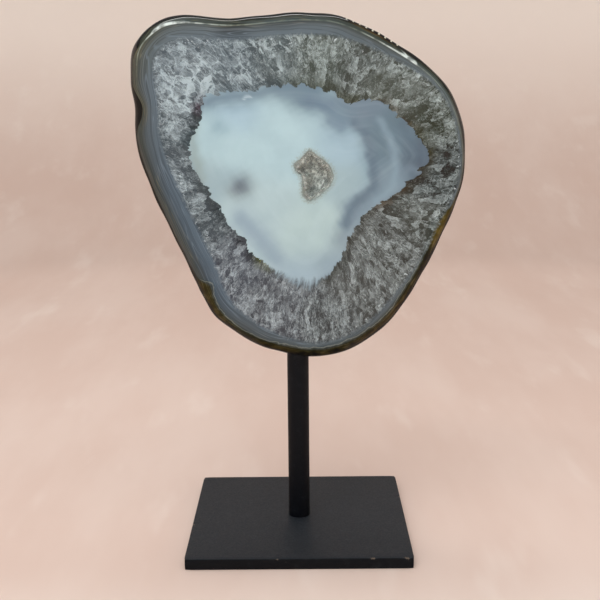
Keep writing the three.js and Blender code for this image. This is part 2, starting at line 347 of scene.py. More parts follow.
# Soft bumps of (x, z, radius, height)
RIM_DENTS = [(-71.5, 197, 8, 0.4), (-68.5, 226, 7, 0.3), (-27, 236, 9, 0.2)]
RIM_LEDGES = [(-38, 104, 9, 0.4), (60, 125, 6, 0.3), (-14, 88, 6, 0.3)]
BAND_EYES = [(-71, 196, 7.5, 6.5), (-70, 224, 5, 1.5)]
SOFT_EDGES = [(4, 118, 13, 1.0), (-8, 122, 6, 0.5)]
FROST = [(-45, 205, 26, 1.0), (-20, 218, 16, 0.7), (12, 222, 14, 0.5), (40, 212, 14, 0.3), (61, 196, 7, 0.4),
         (20, 104, 20, 0.4), (-20, 108, 18, 0.35), (-52, 165, 18, 0.5), (50, 132, 12, 0.5), (66, 170, 8, -0.3),
         (62, 150, 5, 0.8)]
FANS = [(8, 100, 20, 1.0), (-22, 112, 12, 0.6), (42, 130, 14, 0.8), (-48, 150, 10, 0.3)]
COLUMNS = 400
HOLLOW_ROWS = 14
FACE_ROWS = 96
ROUND_ROWS = 9
SIDE_ROWS = 9
BACK_ROWS = 60
GROWTH_RADIUS = 77
# Colours below are as the stone looks in the warm room: its cast, and the light that the polish mirrors,
# are taken off them in the material
ROOM_CAST = (0.98, 1.06, 1.11)
MIRRORED_ROOM = (0.02, 0.016, 0.014)


def closed_curve(points, samples):
    """Centripetal Catmull-Rom curve through the points, resampled to equal steps of its length."""
    p1 = np.array(points, float)
    p0, p2, p3 = np.roll(p1, 1, axis=0), np.roll(p1, -1, axis=0), np.roll(p1, -2, axis=0)
    pairs = ((p0, p1), (p1, p2), (p2, p3))
    gap0, gap1, gap2 = (np.sqrt(np.linalg.norm(b - a, axis=1))[:, None] for a, b in pairs)
    start = ((p1 - p0) / gap0 - (p2 - p0) / (gap0 + gap1) + (p2 - p1) / gap1) * gap1
    end = ((p2 - p1) / gap1 - (p3 - p1) / (gap1 + gap2) + (p3 - p2) / gap2) * gap1
    t = np.linspace(0, 1, 80, endpoint=False)[None, :, None]
    cubic = 2 * p1 - 2 * p2 + start + end
    square = -3 * p1 + 3 * p2 - 2 * start - end
    spans = p1[:, None] + start[:, None] * t + square[:, None] * t ** 2 + cubic[:, None] * t ** 3
    dense = spans.reshape(-1, 2)
    dense = np.vstack([dense, dense[:1]])
    length = np.concatenate([[0], np.cumsum(np.linalg.norm(np.diff(dense, axis=0), axis=1))])
    wanted = np.arange(samples) / samples * length[-1]
    return np.stack([np.interp(wanted, length, dense[:, axis]) for axis in (0, 1)], axis=-1)


def outward_of(loop):
    """Unit normals of a counter-clockwise loop, pointing out of it."""
    tangent = np.roll(loop, -1, axis=0) - np.roll(loop, 1, axis=0)
    normal = np.stack([tangent[:, 1], -tangent[:, 0]], axis=-1)
    return normal / np.linalg.norm(normal, axis=1)[:, None]


def by_direction(table, direction):
    """A value that changes smoothly with direction, from rows of (degrees, value)."""
    turns = np.array([row[0] for row in table] + [360.0])
    values = np.array([row[1] for row in table] + [table[0][1]], float)
    turn = np.degrees(direction) % 360
    index = np.clip(np.searchsorted(turns, turn, side="right") - 1, 0, len(table) - 1)
    share = (turn - turns[index]) / (turns[index + 1] - turns[index])
    share = share * share * (3 - 2 * share)
    return values[index] + (values[index + 1] - values[index]) * share


def direction_from(points, centre):
    return np.arctan2(points[..., 1] - centre[1], points[..., 0] - centre[0])


def bumps_at(points, bumps):
    """Sum of round soft bumps, each a bell curve of its height."""
    total = np.zeros(points.shape[:-1])
    for x, z, radius, height in bumps:
        away = np.hypot(points[..., 0] - x, points[..., 1] - z) / radius
        total += height * np.exp(-2 * away ** 2)
    return total


def distance_to(points, line):
    """Shortest distance from each point to the corners of a dense line, worked out in blocks."""
    blocks = [np.min(np.hypot(block[:, None, 0] - line[None, :, 0], block[:, None, 1] - line[None, :, 1]), axis=1)
              for block in np.array_split(points.reshape(-1, 2), 60)]
    return np.concatenate(blocks).reshape(points.shape[:-1])


def reach_in_direction(loop, centre, direction):
    """How far a loop round the centre reaches in each direction."""
    turn = direction_from(loop, centre) % (2 * np.pi)
    order = np.argsort(turn)
    reach = np.hypot(*(loop - centre).T)
    return np.interp(direction % (2 * np.pi), turn[order], reach[order], period=2 * np.pi)


outline = closed_curve(SLICE_OUTLINE, COLUMNS)
outward = outward_of(outline)
rim_direction = direction_from(outline, SLICE_CENTRE)
rim_width = by_direction(RIM_WIDTHS, rim_direction)
hollow_loop = closed_curve(HOLLOW_OUTLINE, 720)


def rim_row(inset, y):
    """One loop of the rim, drawn in by a share of its rounded width: rind bumps fade towards the faces."""
    ripples = np.sin(rim_direction * 9 + y * 0.5) + np.sin(rim_direction * 23 - y * 0.35)
    bulge = SIDE_BULGE * (1 - (y / FACE_Y) ** 2)
    growth = bulge + RIND_RELIEF * ripples + bumps_at(outline, RIM_LEDGES) - bumps_at(outline, RIM_DENTS)
    offset = growth * (1 - inset) - SIDE_BULGE - inset * rim_width
    loop = outline + outward * offset[:, None]
    return np.stack([loop[:, 0], np.full(COLUMNS, float(y)), loop[:, 1]], axis=-1)


def hollow_wall(direction, depth, inset=0.0):
    """The hollow's wall from its mouth at depth 0 to its floor at 1, a superellipse in section."""
    narrowing = (1 - depth ** HOLLOW_ROUNDNESS) ** (1 / HOLLOW_ROUNDNESS)
    reach = np.maximum(reach_in_direction(hollow_loop, HOLLOW_CENTRE, direction) * narrowing - inset, 0)
    x = HOLLOW_CENTRE[0] + HOLLOW_FLOOR_SHIFT[0] * depth + reach * np.cos(direction)
    z = HOLLOW_CENTRE[1] + HOLLOW_FLOOR_SHIFT[1] * depth + reach * np.sin(direction)
    y = np.broadcast_to(FACE_Y + depth * (HOLLOW_DEPTH - inset), x.shape)
    return np.stack([x, y, z], axis=-1)


def rounded_rim(step):
    """Inset and y on the front's rounded edge: a superellipse quarter, flatter in the middle than a circle."""
    turn = step * np.pi / 2
    inset = 1 - np.sin(turn) ** (2 / RIM_CHAMFER_SHAPE)
    return inset, FACE_Y + RIM_DEPTH * (1 - np.cos(turn) ** (2 / RIM_CHAMFER_SHAPE))


def flat_rows(inner, outer, shares):
    """Loops between two loops of a flat face."""
    return [inner + (outer - inner) * share for share in shares]


ray_direction = direction_from(outline, HOLLOW_CENTRE)
wall_depths = np.sin(np.linspace(1, 0, HOLLOW_ROWS) * np.pi / 2) ** 1.3
wall_rows = [hollow_wall(ray_direction, depth) for depth in wall_depths][1:]
face_rows = flat_rows(wall_rows[-1], rim_row(1.0, FACE_Y), np.linspace(0, 1, FACE_ROWS)[1:])
front_round = [rim_row(*rounded_rim(step)) for step in np.linspace(0, 1, ROUND_ROWS)[1:]]
side_y = np.linspace(FACE_Y + RIM_DEPTH, -FACE_Y - RIM_DEPTH, SIDE_ROWS)[1:-1]
side_rows = [rim_row(0.0, y) for y in side_y]
back_round = [rim_row(inset, -y) for inset, y in (rounded_rim(step) for step in np.linspace(1, 0, ROUND_ROWS))]
back_pole = np.array([SLICE_CENTRE[0], -FACE_Y, SLICE_CENTRE[1]], float)
back_centre = np.tile(back_pole, (COLUMNS, 1))
back_rows = flat_rows(back_round[-1], back_centre, np.linspace(0, 1, BACK_ROWS)[1:-1])
front_pole = hollow_wall(0.0, 1.0)
slice_rows = np.array([*wall_rows, *face_rows, *front_round, *side_rows, *back_round, *back_rows])
slice_points = np.vstack([front_pole, slice_rows.reshape(-1, 3), back_pole])
agate = add_mesh("agate_slice_stone", slice_points, skin_faces(len(slice_rows), COLUMNS))
agate.data.set_sharp_from_angle(angle=np.radians(50))


def add_attribute(piece, name, values, kind="FLOAT"):
    """Stores one value for each point: a number, a direction or a colour."""
    field = {"FLOAT": "value", "FLOAT_VECTOR": "vector", "FLOAT_COLOR": "color"}[kind]
    attribute = piece.data.attributes.new(name, kind, "POINT")
    attribute.data.foreach_set(field, np.asarray(values, np.float32).ravel())


def soft_patches(points, patches):
    """Colours that blend into each other: each patch is (x, z, radius, colour) and counts by a bell curve."""
    weights = np.stack([np.exp(-((points[:, 0] - x) ** 2 + (points[:, 1] - z) ** 2) / radius ** 2)
                        for x, z, radius, _ in patches], axis=-1) + 1e-9
    colours = np.array([colour for *_, colour in patches])
    return weights @ colours / weights.sum(axis=1)[:, None]


def soft_path(corners):
    """A dense line through the corners, with its bends smoothed over three millimetres."""
    corners = np.array(corners, float)
    length = np.concatenate([[0], np.cumsum(np.linalg.norm(np.diff(corners, axis=0), axis=1))])
    along = np.arange(0, length[-1] + 0.3, 0.3)
    dense = np.stack([np.interp(along, length, corners[:, axis]) for axis in (0, 1)], axis=-1)
    padded = np.pad(dense, ((5, 5), (0, 0)), mode="edge")
    return np.stack([np.convolve(padded[:, axis], np.full(11, 1 / 11), "valid") for axis in (0, 1)], axis=-1)


def lay_veils(colours, points, veils):
    """Soft ribbons over the colours: each is (corners, half width, colour with its strength)."""
    for corners, half_width, colour in veils:
        away = distance_to(points, soft_path(corners)) / half_width
        share = colour[3] * np.exp(-away ** 2)[:, None]
        colours = colours + (np.array([*colour[:3], 1.0]) - colours) * share
    return colours


def wandering(points):
    """The points moved by up to a millimetre along a few crossed waves, so that no edge is quite round."""
    x, z = points[:, 0], points[:, 1]
    move_x = 0.9 * np.sin(0.31 * z + 0.12 * x) + 0.5 * np.sin(0.83 * z - 0.41 * x + 1) + 0.3 * np.sin(1.7 * x + z)
    move_z = 0.9 * np.sin(0.27 * x - 0.1 * z + 2) + 0.5 * np.sin(0.77 * x + 0.5 * z) + 0.3 * np.sin(1.9 * z - x)
    return points + 0.5 * np.stack([move_x, move_z], axis=-1)


QUARTZ_PATCHES = [
    (-52, 209, 12, seen(136, 147, 156)), (-57, 190, 10, seen(130, 141, 148)),
    (-55, 168, 12, seen(118, 128, 136)), (-44, 148, 12, seen(110, 119, 126)),
    (-30, 124, 12, seen(112, 114, 127)), (-10, 107, 12, seen(113, 112, 120)),
    (12, 103, 9, seen(97, 95, 94)), (29, 115, 9, seen(115, 112, 106)),
    (46, 133, 8, seen(98, 92, 82)), (57, 145, 7, seen(108, 106, 94)),
    (66, 168, 9, seen(46, 43, 26)), (61, 192, 8, seen(84, 84, 58)),
    (52, 204, 8, seen(120, 121, 106)), (32, 218, 10, seen(102, 103, 92)),
    (10, 220, 9, seen(112, 118, 104)), (-10, 221, 10, seen(130, 141, 142)),
    (-26, 216, 9, seen(120, 133, 143)), (37, 206, 6, seen(122, 124, 108)),
    (-38, 205, 8, seen(134, 148, 155)),
]
MILK_PATCHES = [
    (-7, 183, 15, seen(182, 205, 209)), (-31, 180, 9, seen(178, 201, 205)),
    (-38, 166, 7, seen(162, 180, 184)), (-15, 152, 12, seen(180, 198, 200)),
    (4, 142, 12, seen(182, 200, 198)), (2, 124, 7, seen(158, 176, 186)),
    (15, 127, 6, seen(144, 160, 170)), (20, 180, 8, seen(166, 188, 198)),
    (19, 164, 7, seen(163, 182, 186)), (41, 183, 9, seen(104, 121, 131)),
    (54, 173, 7, seen(88, 98, 110)), (42, 166, 6, seen(129, 146, 156)),
    (28, 149, 6, seen(132, 148, 158)), (22, 138, 5, seen(136, 150, 158)),
    (30, 198, 7, seen(118, 132, 144)), (-24, 194, 7, seen(168, 192, 204)),
    (0, 206, 7, seen(112, 130, 142)),
]
MILK_VEILS = [
    ([(-42, 199), (-24, 202), (-14, 203.5), (-4, 205), (10, 205)], 4.4, seen(110, 128, 140, 0.85)),
    ([(3, 201), (12, 198), (20, 194)], 6.0, seen(114, 133, 145, 0.8)),
    ([(-45, 190), (-45, 176), (-42, 164)], 2.6, seen(146, 156, 150, 0.6)),
    ([(26, 188), (28.6, 180.2), (30.6, 171.5), (30.5, 162.7), (25.7, 157), (21.6, 150.8),
      (19.3, 143.7)], 1.6, seen(160, 182, 190, 0.45)),
    ([(24.6, 190.2), (30, 185), (33, 178), (34.2, 171), (33.8, 161.8), (28.6, 156.5), (23.8, 152.1),
      (21.4, 145)], 2.7, seen(100, 114, 127, 0.82)),
    ([(37.1, 190.4), (41.3, 182.4), (43.8, 174.4), (44.6, 168.3), (42, 161.3), (36.2, 155.6)], 2.0,
     seen(142, 161, 172, 0.65)),
    ([(47.6, 189.4), (49.2, 182), (49.9, 176)], 2.8, seen(96, 110, 122, 0.8)),
    ([(46.8, 166.5), (51.2, 169.5), (54.7, 168.2)], 1.8, seen(126, 140, 150, 0.5)),
    ([(38.5, 156), (36.2, 153.3), (30.9, 148.9), (26.5, 143.6), (23.8, 136.4)], 1.6, seen(138, 152, 160, 0.5)),
    ([(-24.8, 162.8), (-24.8, 161.4)], 5.0, seen(112, 120, 126, 1.0)),
    ([(-33.4, 188.8), (-33.4, 188)], 3.6, seen(140, 166, 178, 0.65)),
    ([(-25, 148), (-16, 139), (-9, 130)], 4.6, seen(138, 154, 170, 0.7)),
    ([(6, 199.5), (12.5, 197), (16, 197.4)], 3.8, seen(106, 123, 139, 0.8)),
    ([(14.8, 190.8), (19.8, 189)], 3.8, seen(112, 130, 145, 0.8)),
    ([(-22.4, 200.6), (-21.8, 202.2), (-20.2, 202.4), (-19.4, 201.2)], 0.5, seen(196, 210, 216, 0.7)),
]
TIP_PATCHES = [
    (-40.5, 198.5, 3.8, seen(72, 52, 64, 1.0)), (-42, 190, 3.5, seen(74, 82, 84, 0.95)),
    (-46, 185, 3.5, seen(60, 76, 82, 0.95)),
    (-46, 174, 5, seen(100, 108, 110, 0.5)), (-41, 163, 7, seen(92, 102, 104, 0.65)),
    (-33, 151, 6, seen(58, 66, 70, 0.95)), (-24, 135, 6, seen(56, 57, 62, 0.95)),
    (-14.5, 129, 4, seen(104, 108, 66, 0.9)), (-3, 117, 8, seen(82, 84, 84, 0.7)),
    (20, 126, 6, seen(76, 77, 70, 0.75)), (30, 139, 8, seen(80, 78, 70, 0.7)),
    (42, 152, 7, seen(84, 72, 58, 0.85)), (54, 160, 5, seen(78, 64, 42, 0.9)),
    (59, 170, 7, seen(62, 54, 38, 0.95)), (59, 183, 6, seen(78, 74, 48, 0.9)),
    (46, 195, 7, seen(86, 78, 62, 0.75)), (22, 204, 8, seen(74, 74, 54, 0.85)),
    (4, 209, 8, seen(84, 90, 78, 0.75)), (-14, 207, 8, seen(84, 97, 103, 0.7)),
    (-32, 201, 6, seen(128, 144, 152, 0.3)),
]
RIND_PATCHES = [
    (76, 178, 24, seen(52, 40, 28)), (64, 212, 22, seen(40, 32, 22)),
    (20, 236, 24, seen(34, 26, 18)), (-30, 236, 26, seen(30, 26, 20)),
    (34, 230, 8, seen(150, 108, 52)), (-34, 236, 4, seen(112, 94, 52)),
    (-70, 226, 18, seen(28, 22, 17)), (-69, 196, 9, seen(12, 20, 38)), (-70, 178, 14, seen(46, 32, 24)),
    (-62, 150, 24, seen(32, 25, 20)), (-40, 108, 8, seen(86, 72, 44)), (-30, 96, 10, seen(46, 40, 26)),
    (-14, 88, 10, seen(72, 60, 38)), (14, 84, 14, seen(52, 44, 28)),
    (40, 98, 14, seen(72, 56, 32)), (56, 124, 8, seen(62, 52, 28)), (66, 146, 7, seen(124, 104, 54)),
]
BAND_PATCHES = [
    (-68, 190, 20, seen(80, 86, 90)), (-66, 225, 12, seen(80, 83, 78)), (-56, 150, 22, seen(76, 86, 95)),
    (-38, 118, 14, seen(70, 79, 88)), (-46, 232, 12, seen(90, 96, 98)), (-27, 230, 6, seen(54, 58, 60)),
    (2, 232, 20, seen(90, 97, 100)),
    (40, 220, 18, seen(78, 81, 78)), (68, 195, 16, seen(82, 84, 78)), (70, 160, 18, seen(84, 82, 76)),
    (55, 125, 16, seen(78, 76, 70)), (35, 98, 14, seen(76, 75, 71)), (5, 90, 18, seen(76, 79, 77)),
    (-20, 98, 14, seen(72, 76, 78)),
]

flat_points = slice_points[:, [0, 2]]
bent_points = wandering(flat_points)
dense_outline = closed_curve(SLICE_OUTLINE, 1600)
eyes = bumps_at(flat_points, BAND_EYES)
inset_all = distance_to(flat_points, dense_outline)
around = np.arange(COLUMNS) / COLUMNS * 2 * np.pi
around_all = np.concatenate([[0], np.tile(around, len(slice_rows)), [0]])
milk_loop = closed_curve(MILK_OUTLINE, 1200)
from_centre = flat_points - np.array(HOLLOW_CENTRE)
milk_reach = reach_in_direction(milk_loop, HOLLOW_CENTRE, direction_from(flat_points, HOLLOW_CENTRE))
inside_milk = np.where(np.hypot(*from_centre.T) < milk_reach, 1.0, -1.0)
band_width = by_direction(BAND_WIDTHS, direction_from(flat_points, SLICE_CENTRE))
rind_all = inset_all - eyes
ring_all = np.stack([GROWTH_RADIUS * np.cos(around_all), GROWTH_RADIUS * np.sin(around_all),
                     slice_points[:, 1]], axis=-1)
add_attribute(agate, "ring", ring_all, "FLOAT_VECTOR")
add_attribute(agate, "depth", rind_all)
add_attribute(agate, "rind", rind_all / by_direction(RIND_WIDTHS, direction_from(flat_points, SLICE_CENTRE)))
add_attribute(agate, "share", rind_all / band_width)
add_attribute(agate, "band", inset_all - eyes * 0.5 - band_width)
add_attribute(agate, "milk", inside_milk * distance_to(flat_points, milk_loop))
add_attribute(agate, "frost", bumps_at(bent_points, FROST))
add_attribute(agate, "soft_edge", bumps_at(flat_points, SOFT_EDGES))
add_attribute(agate, "quartz_tint", soft_patches(bent_points, QUARTZ_PATCHES), "FLOAT_COLOR")
add_attribute(agate, "tip_tint", soft_patches(bent_points, TIP_PATCHES), "FLOAT_COLOR")
add_attribute(agate, "rind_tint", soft_patches(bent_points, RIND_PATCHES), "FLOAT_COLOR")
add_attribute(agate, "band_tint", soft_patches(bent_points, BAND_PATCHES), "FLOAT_COLOR")
add_attribute(agate, "fan", bumps_at(bent_points, FANS))
add_attribute(agate, "gloss", by_direction(RIM_GLOSS, direction_from(flat_points, SLICE_CENTRE)))
edge_all = inset_all - by_direction(RIM_WIDTHS, direction_from(flat_points, SLICE_CENTRE))
turn_all = np.degrees(direction_from(flat_points, SLICE_CENTRE)) % 360
side_line = np.abs(edge_all + SIDE_HIGHLIGHT[2] * (turn_all - SIDE_HIGHLIGHT[0]))
wide_eyes = [(x, z, 1.5 * radius, 1.0) for x, z, radius, _ in BAND_EYES]
# Where the painted highlight lines lie along the rim
add_attribute(agate, "edge", edge_all)
add_attribute(agate, "edge_line", by_direction(EDGE_HIGHLIGHT, np.radians(turn_all)))
add_attribute(agate, "side_line", np.where((turn_all > SIDE_HIGHLIGHT[0]) & (turn_all < SIDE_HIGHLIGHT[1]), side_line, 9))
add_attribute(agate, "eye", np.minimum(bumps_at(flat_points, wide_eyes), 1))
add_attribute(agate, "mouth", distance_to(flat_points, hollow_loop) + 10 * (slice_points[:, 1] > 1))
milk_colours = lay_veils(soft_patches(bent_points, MILK_PATCHES), bent_points, MILK_VEILS)
add_attribute(agate, "milk_tint", milk_colours, "FLOAT_COLOR")


def agate_material():
    """Bands by depth below the rind, crystals as cells drawn out along their growth, and a cloudy centre."""
    g = Graph("polished_agate")
    ring_x, ring_y, through = g.split(g.attribute("ring", "Vector"))
    depth = g.attribute("depth")
    rind = g.attribute("rind")
    share = g.attribute("share")
    fan = g.attribute("fan")
    band_tint = g.attribute("band_tint", "Color")
    milk = g.attribute("milk")
    band = g.attribute("band")
    frost = g.attribute("frost")
    soft_edge = g.attribute("soft_edge")
    quartz_tint = g.attribute("quartz_tint", "Color")
    milk_tint = g.attribute("milk_tint", "Color")
    tip_tint = g.attribute("tip_tint", "Color")
    tip_strength = g.attribute("tip_tint", "Alpha")
    rind_tint = g.attribute("rind_tint", "Color")

    def growth(depth):
        """A place among the crystals: round the ring, and inwards; bent so that no crystal is straight."""
        straight = g.join(ring_x, ring_y, g.math("MULTIPLY_ADD", through, 0.35, depth))
        return g.warp(g.warp(straight, 0.11, 8.0), 0.42, 2.4)

    def crystals(place, width, length):
        """Crystals of one size: three random tones each, the nearness of an edge, a slope, and the middle."""
        where = g.vector("MULTIPLY", place, (1 / width, 1 / width, 1 / length))
        cell = g.cells(where)
        edge = g.cells(where, "DISTANCE_TO_EDGE")["Distance"]
        lean = g.vector("SUBTRACT", cell["Color"], (0.5, 0.5, 0.5))
        slope = g.vector("DOT_PRODUCT", g.vector("SUBTRACT", where, cell["Position"]), lean)
        return g.split(cell["Color"]), edge, slope, g.split(cell["Position"])[2]

    def folds(place, width, length, count, detail):
        """Drapery: a noise cut into steps, each brightest along its edge and fading away from it."""
        noise = g.noise(g.vector("MULTIPLY", place, (1 / width, 1 / width, 1 / length)), detail=detail)
        ramp = g.math("FRACT", g.math("MULTIPLY", noise, count))
        edge = g.math("ADD", g.math("MULTIPLY", ramp, 0.3), g.math("POWER", ramp, 6.0))
        return g.math("MULTIPLY", edge, g.step(ramp, 0.94, 1.0, 1.0, 0.0))

    def lines(place, width, length, thinness):
        """Thin winding lines where a noise passes its middle."""
        noise = g.noise(g.vector("MULTIPLY", place, (1 / width, 1 / width, 1 / length)), detail=2.0)
        return g.step(g.math("ABSOLUTE", g.math("SUBTRACT", noise, 0.5)), 0.0, thinness, 1.0, 0.0)

    inner_place = growth(milk)
    outer_place = growth(band)
    feather = g.warp(outer_place, 1.1, 1.3)
    loose = g.warp(g.warp(g.vector("MULTIPLY", g.place(), (1.0, 0.3, 1.0)), 0.12, 7.0), 0.55, 2.2)
    cloud = g.noise(g.place(), scale=0.13, detail=2.0)

    # Large crystals inwards, smaller ones towards the bands, and the jagged line where the tips end
    large_tone, large_edge, large_slope = crystals(g.warp(inner_place, 0.9, 1.2), 6.0, 7.0)[:3]
    tip_tone, _, _, tip_middle = crystals(g.warp(inner_place, 0.7, 1.6), 5.0, 3.6)
    tooth_middle = crystals(g.warp(inner_place, 1.5, 0.8), 2.4, 2.0)[3]
    tip_depth = g.between(0.45, milk, g.math("MULTIPLY", tip_middle, 3.6))
    tip_depth = g.between(0.3, tip_depth, g.math("MULTIPLY", tooth_middle, 2.0))
    middle_tone, middle_edge, middle_slope = crystals(feather, 3.4, 4.0)[:3]
    small_tone, _, small_slope, _ = crystals(feather, 1.4, 1.6)
    window_tone, window_edge, window_slope = crystals(loose, 7.0, 7.0)[:3]
    blade_tone, _, blade_slope, _ = crystals(inner_place, 3.6, 20.0)
    inner = g.step(milk, -13.0, -6.0)
    outer = g.step(band, 1.0, 8.0, 1.0, 0.0)

    # Glassy dark crystals, each with a lighter and a darker side
    tone = g.between(inner, g.math("MULTIPLY_ADD", middle_slope, 1.5, middle_tone[0]),
                     g.math("MULTIPLY_ADD", large_slope, 1.5, large_tone[0]))
    window = g.math("MULTIPLY_ADD", window_slope, 1.6, window_tone[0])
    blade = g.math("MULTIPLY_ADD", blade_slope, 2.4, blade_tone[0])
    tone = g.between(g.math("MULTIPLY", frost, 0.8, clamp=True), tone, window)
    tone = g.between(g.math("MULTIPLY", fan, 0.8, clamp=True), tone, blade)
    body = g.math("MULTIPLY_ADD", g.math("SUBTRACT", tone, 0.5), 0.5, 0.13)
    body = g.math("MULTIPLY_ADD", g.math("SUBTRACT", cloud, 0.5), 0.5, body)
    calm = g.math("MULTIPLY_ADD", fan, -0.6, 1.0, clamp=True)
    speck = g.math("MULTIPLY_ADD", g.math("SUBTRACT", small_tone[0], 0.5), 0.7, small_slope)
    glassy = g.math("MULTIPLY", g.step(window_tone[1], 0.6, 0.68), g.math("MULTIPLY", frost, 0.9, clamp=True))
    unfrosted = g.math("MULTIPLY_ADD", glassy, -0.72, 1.0)
    speck_weight = g.math("MULTIPLY", g.math("MULTIPLY_ADD", outer, 0.2, 0.2), g.math("MULTIPLY", calm, unfrosted))
    body = g.math("MULTIPLY_ADD", speck, speck_weight, body)

    # White frosting in folds of three sizes, with bright seams, fine wisps, and thin lines that fan out
    patchy = g.step(g.noise(outer_place, scale=0.17, detail=1.0), 0.36, 0.6)
    drapery = g.warp(g.warp(feather, 0.35, 4.0), 1.6, 0.9)
    white = g.math("MULTIPLY", folds(g.warp(loose, 1.5, 1.0), 10.0, 10.0, 4.0, 2.0),
                   g.math("MULTIPLY_ADD", frost, 0.68, 0.1))
    white = g.math("MULTIPLY_ADD", folds(drapery, 6.0, 5.5, 4.5, 2.5), g.math("MULTIPLY_ADD", patchy, 0.3, 0.12), white)
    seam = g.math("MAXIMUM", g.math("MULTIPLY", g.step(large_edge, 0.0, 0.06, 1.0, 0.0), inner),
                  g.math("MULTIPLY", g.step(middle_edge, 0.0, 0.08, 1.0, 0.0), g.math("SUBTRACT", 1.0, inner)))
    seam = g.math("MAXIMUM", seam, g.math("MULTIPLY", g.step(window_edge, 0.0, 0.06, 3.4, 0.0), frost))
    white = g.math("MULTIPLY_ADD", seam, g.math("MULTIPLY_ADD", patchy, 0.24, 0.06), white)
    white = g.math("MULTIPLY", g.math("MULTIPLY", white, g.math("MULTIPLY_ADD", frost, 0.76, 0.38)), unfrosted)
    fine = folds(g.warp(feather, 0.5, 1.5), 2.4, 2.8, 6.0, 3.0)
    white = g.math("MULTIPLY_ADD", fine, g.math("MULTIPLY", calm, 0.3), white)
    wisps = lines(g.warp(feather, 0.8, 1.8), 1.5, 4.2, 0.07)
    white = g.math("MULTIPLY_ADD", wisps, g.math("MULTIPLY_ADD", patchy, 0.3, 0.12), white)
    white = g.math("MULTIPLY_ADD", lines(inner_place, 1.3, 16.0, 0.06), g.math("MULTIPLY", fan, 0.42), white)
    light = g.math("MULTIPLY_ADD", glassy, -0.1, g.math("ADD", body, white))
    quartz_dark = g.mix(0.7, quartz_tint, seen(16, 20, 21))
    quartz_light = g.mix(0.5, quartz_tint, seen(214, 226, 227))
    quartz = g.mix(g.step(light, -0.1, 1.25), quartz_dark, quartz_light)

    # Bright flecks, finest next to the bands
    fleck = g.cells(g.vector("MULTIPLY", g.warp(feather, 1.6, 1.4), (1.0, 1.0, 0.85)))
    fleck_spot = g.math("MULTIPLY", g.step(g.split(fleck["Color"])[2], 0.78, 0.95),
                        g.step(fleck["Distance"], 0.15, 0.5, 1.0, 0.0))
    clusters = g.step(g.noise(outer_place, scale=0.24, detail=1.0), 0.45, 0.65, 0.35, 1.0)
    fleck_share = g.math("MULTIPLY", fleck_spot, g.math("MULTIPLY_ADD", outer, 0.55, 0.25))
    quartz = g.mix(g.math("MULTIPLY", fleck_share, clusters), quartz, seen(236, 242, 244))

    # Darker tips at the milky centre
    near_tip = g.math("MULTIPLY", g.step(tip_depth, -5.5, -0.4), tip_strength)
    tip_share = g.math("MULTIPLY", near_tip, g.math("MULTIPLY_ADD", tip_tone[1], 0.9, 0.4), clamp=True)
    tip_colour = g.mix(g.step(light, 0.0, 0.8), g.mix(0.6, tip_tint, seen(16, 16, 15)), tip_tint)
    quartz = g.mix(tip_share, quartz, tip_colour)

    # Milky centre: soft clouds, faint rings, and a jagged edge that is blurred where the quartz runs deep
    stripes = g.noise(g.vector("MULTIPLY", inner_place, (0.4, 0.4, 0.05)), detail=2.0)
    blurred = g.math("MULTIPLY_ADD", g.math("SUBTRACT", stripes, 0.5), 12.0, milk)
    reach = g.between(soft_edge, tip_depth, blurred)
    blur = g.math("MULTIPLY_ADD", soft_edge, 3.0, 0.1)
    in_milk = g.step(reach, g.math("MULTIPLY", blur, -1.0), blur)
    haze = g.noise(g.place(), scale=0.09, detail=3.0, roughness=0.5)
    rings = g.noise(g.join(0.0, g.math("MULTIPLY", ring_x, 0.02), g.math("MULTIPLY", milk, 0.28)), detail=2.0)
    milk_colour = g.mix(g.step(haze, 0.35, 0.7, 0.0, 0.14), milk_tint, seen(120, 142, 158))
    milk_colour = g.mix(g.step(rings, 0.45, 0.65, 0.0, 0.06), milk_colour, seen(206, 222, 226))
    milk_colour = g.mix(g.step(milk, -1.0, 3.5, 0.3, 0.0), milk_colour, seen(104, 116, 126))
    sugar = g.noise(g.place(), scale=1.3, detail=3.0, roughness=0.6)
    ragged_mouth = g.math("MULTIPLY_ADD", g.math("SUBTRACT", sugar, 0.5), 5.0, g.attribute("mouth"))
    milk_colour = g.mix(g.step(ragged_mouth, -0.4, 2.2, 0.7, 0.0), milk_colour, seen(156, 164, 156))
    milk_colour = g.mix(g.step(ragged_mouth, -0.6, 0.5, 0.8, 0.0), milk_colour, seen(130, 134, 126))

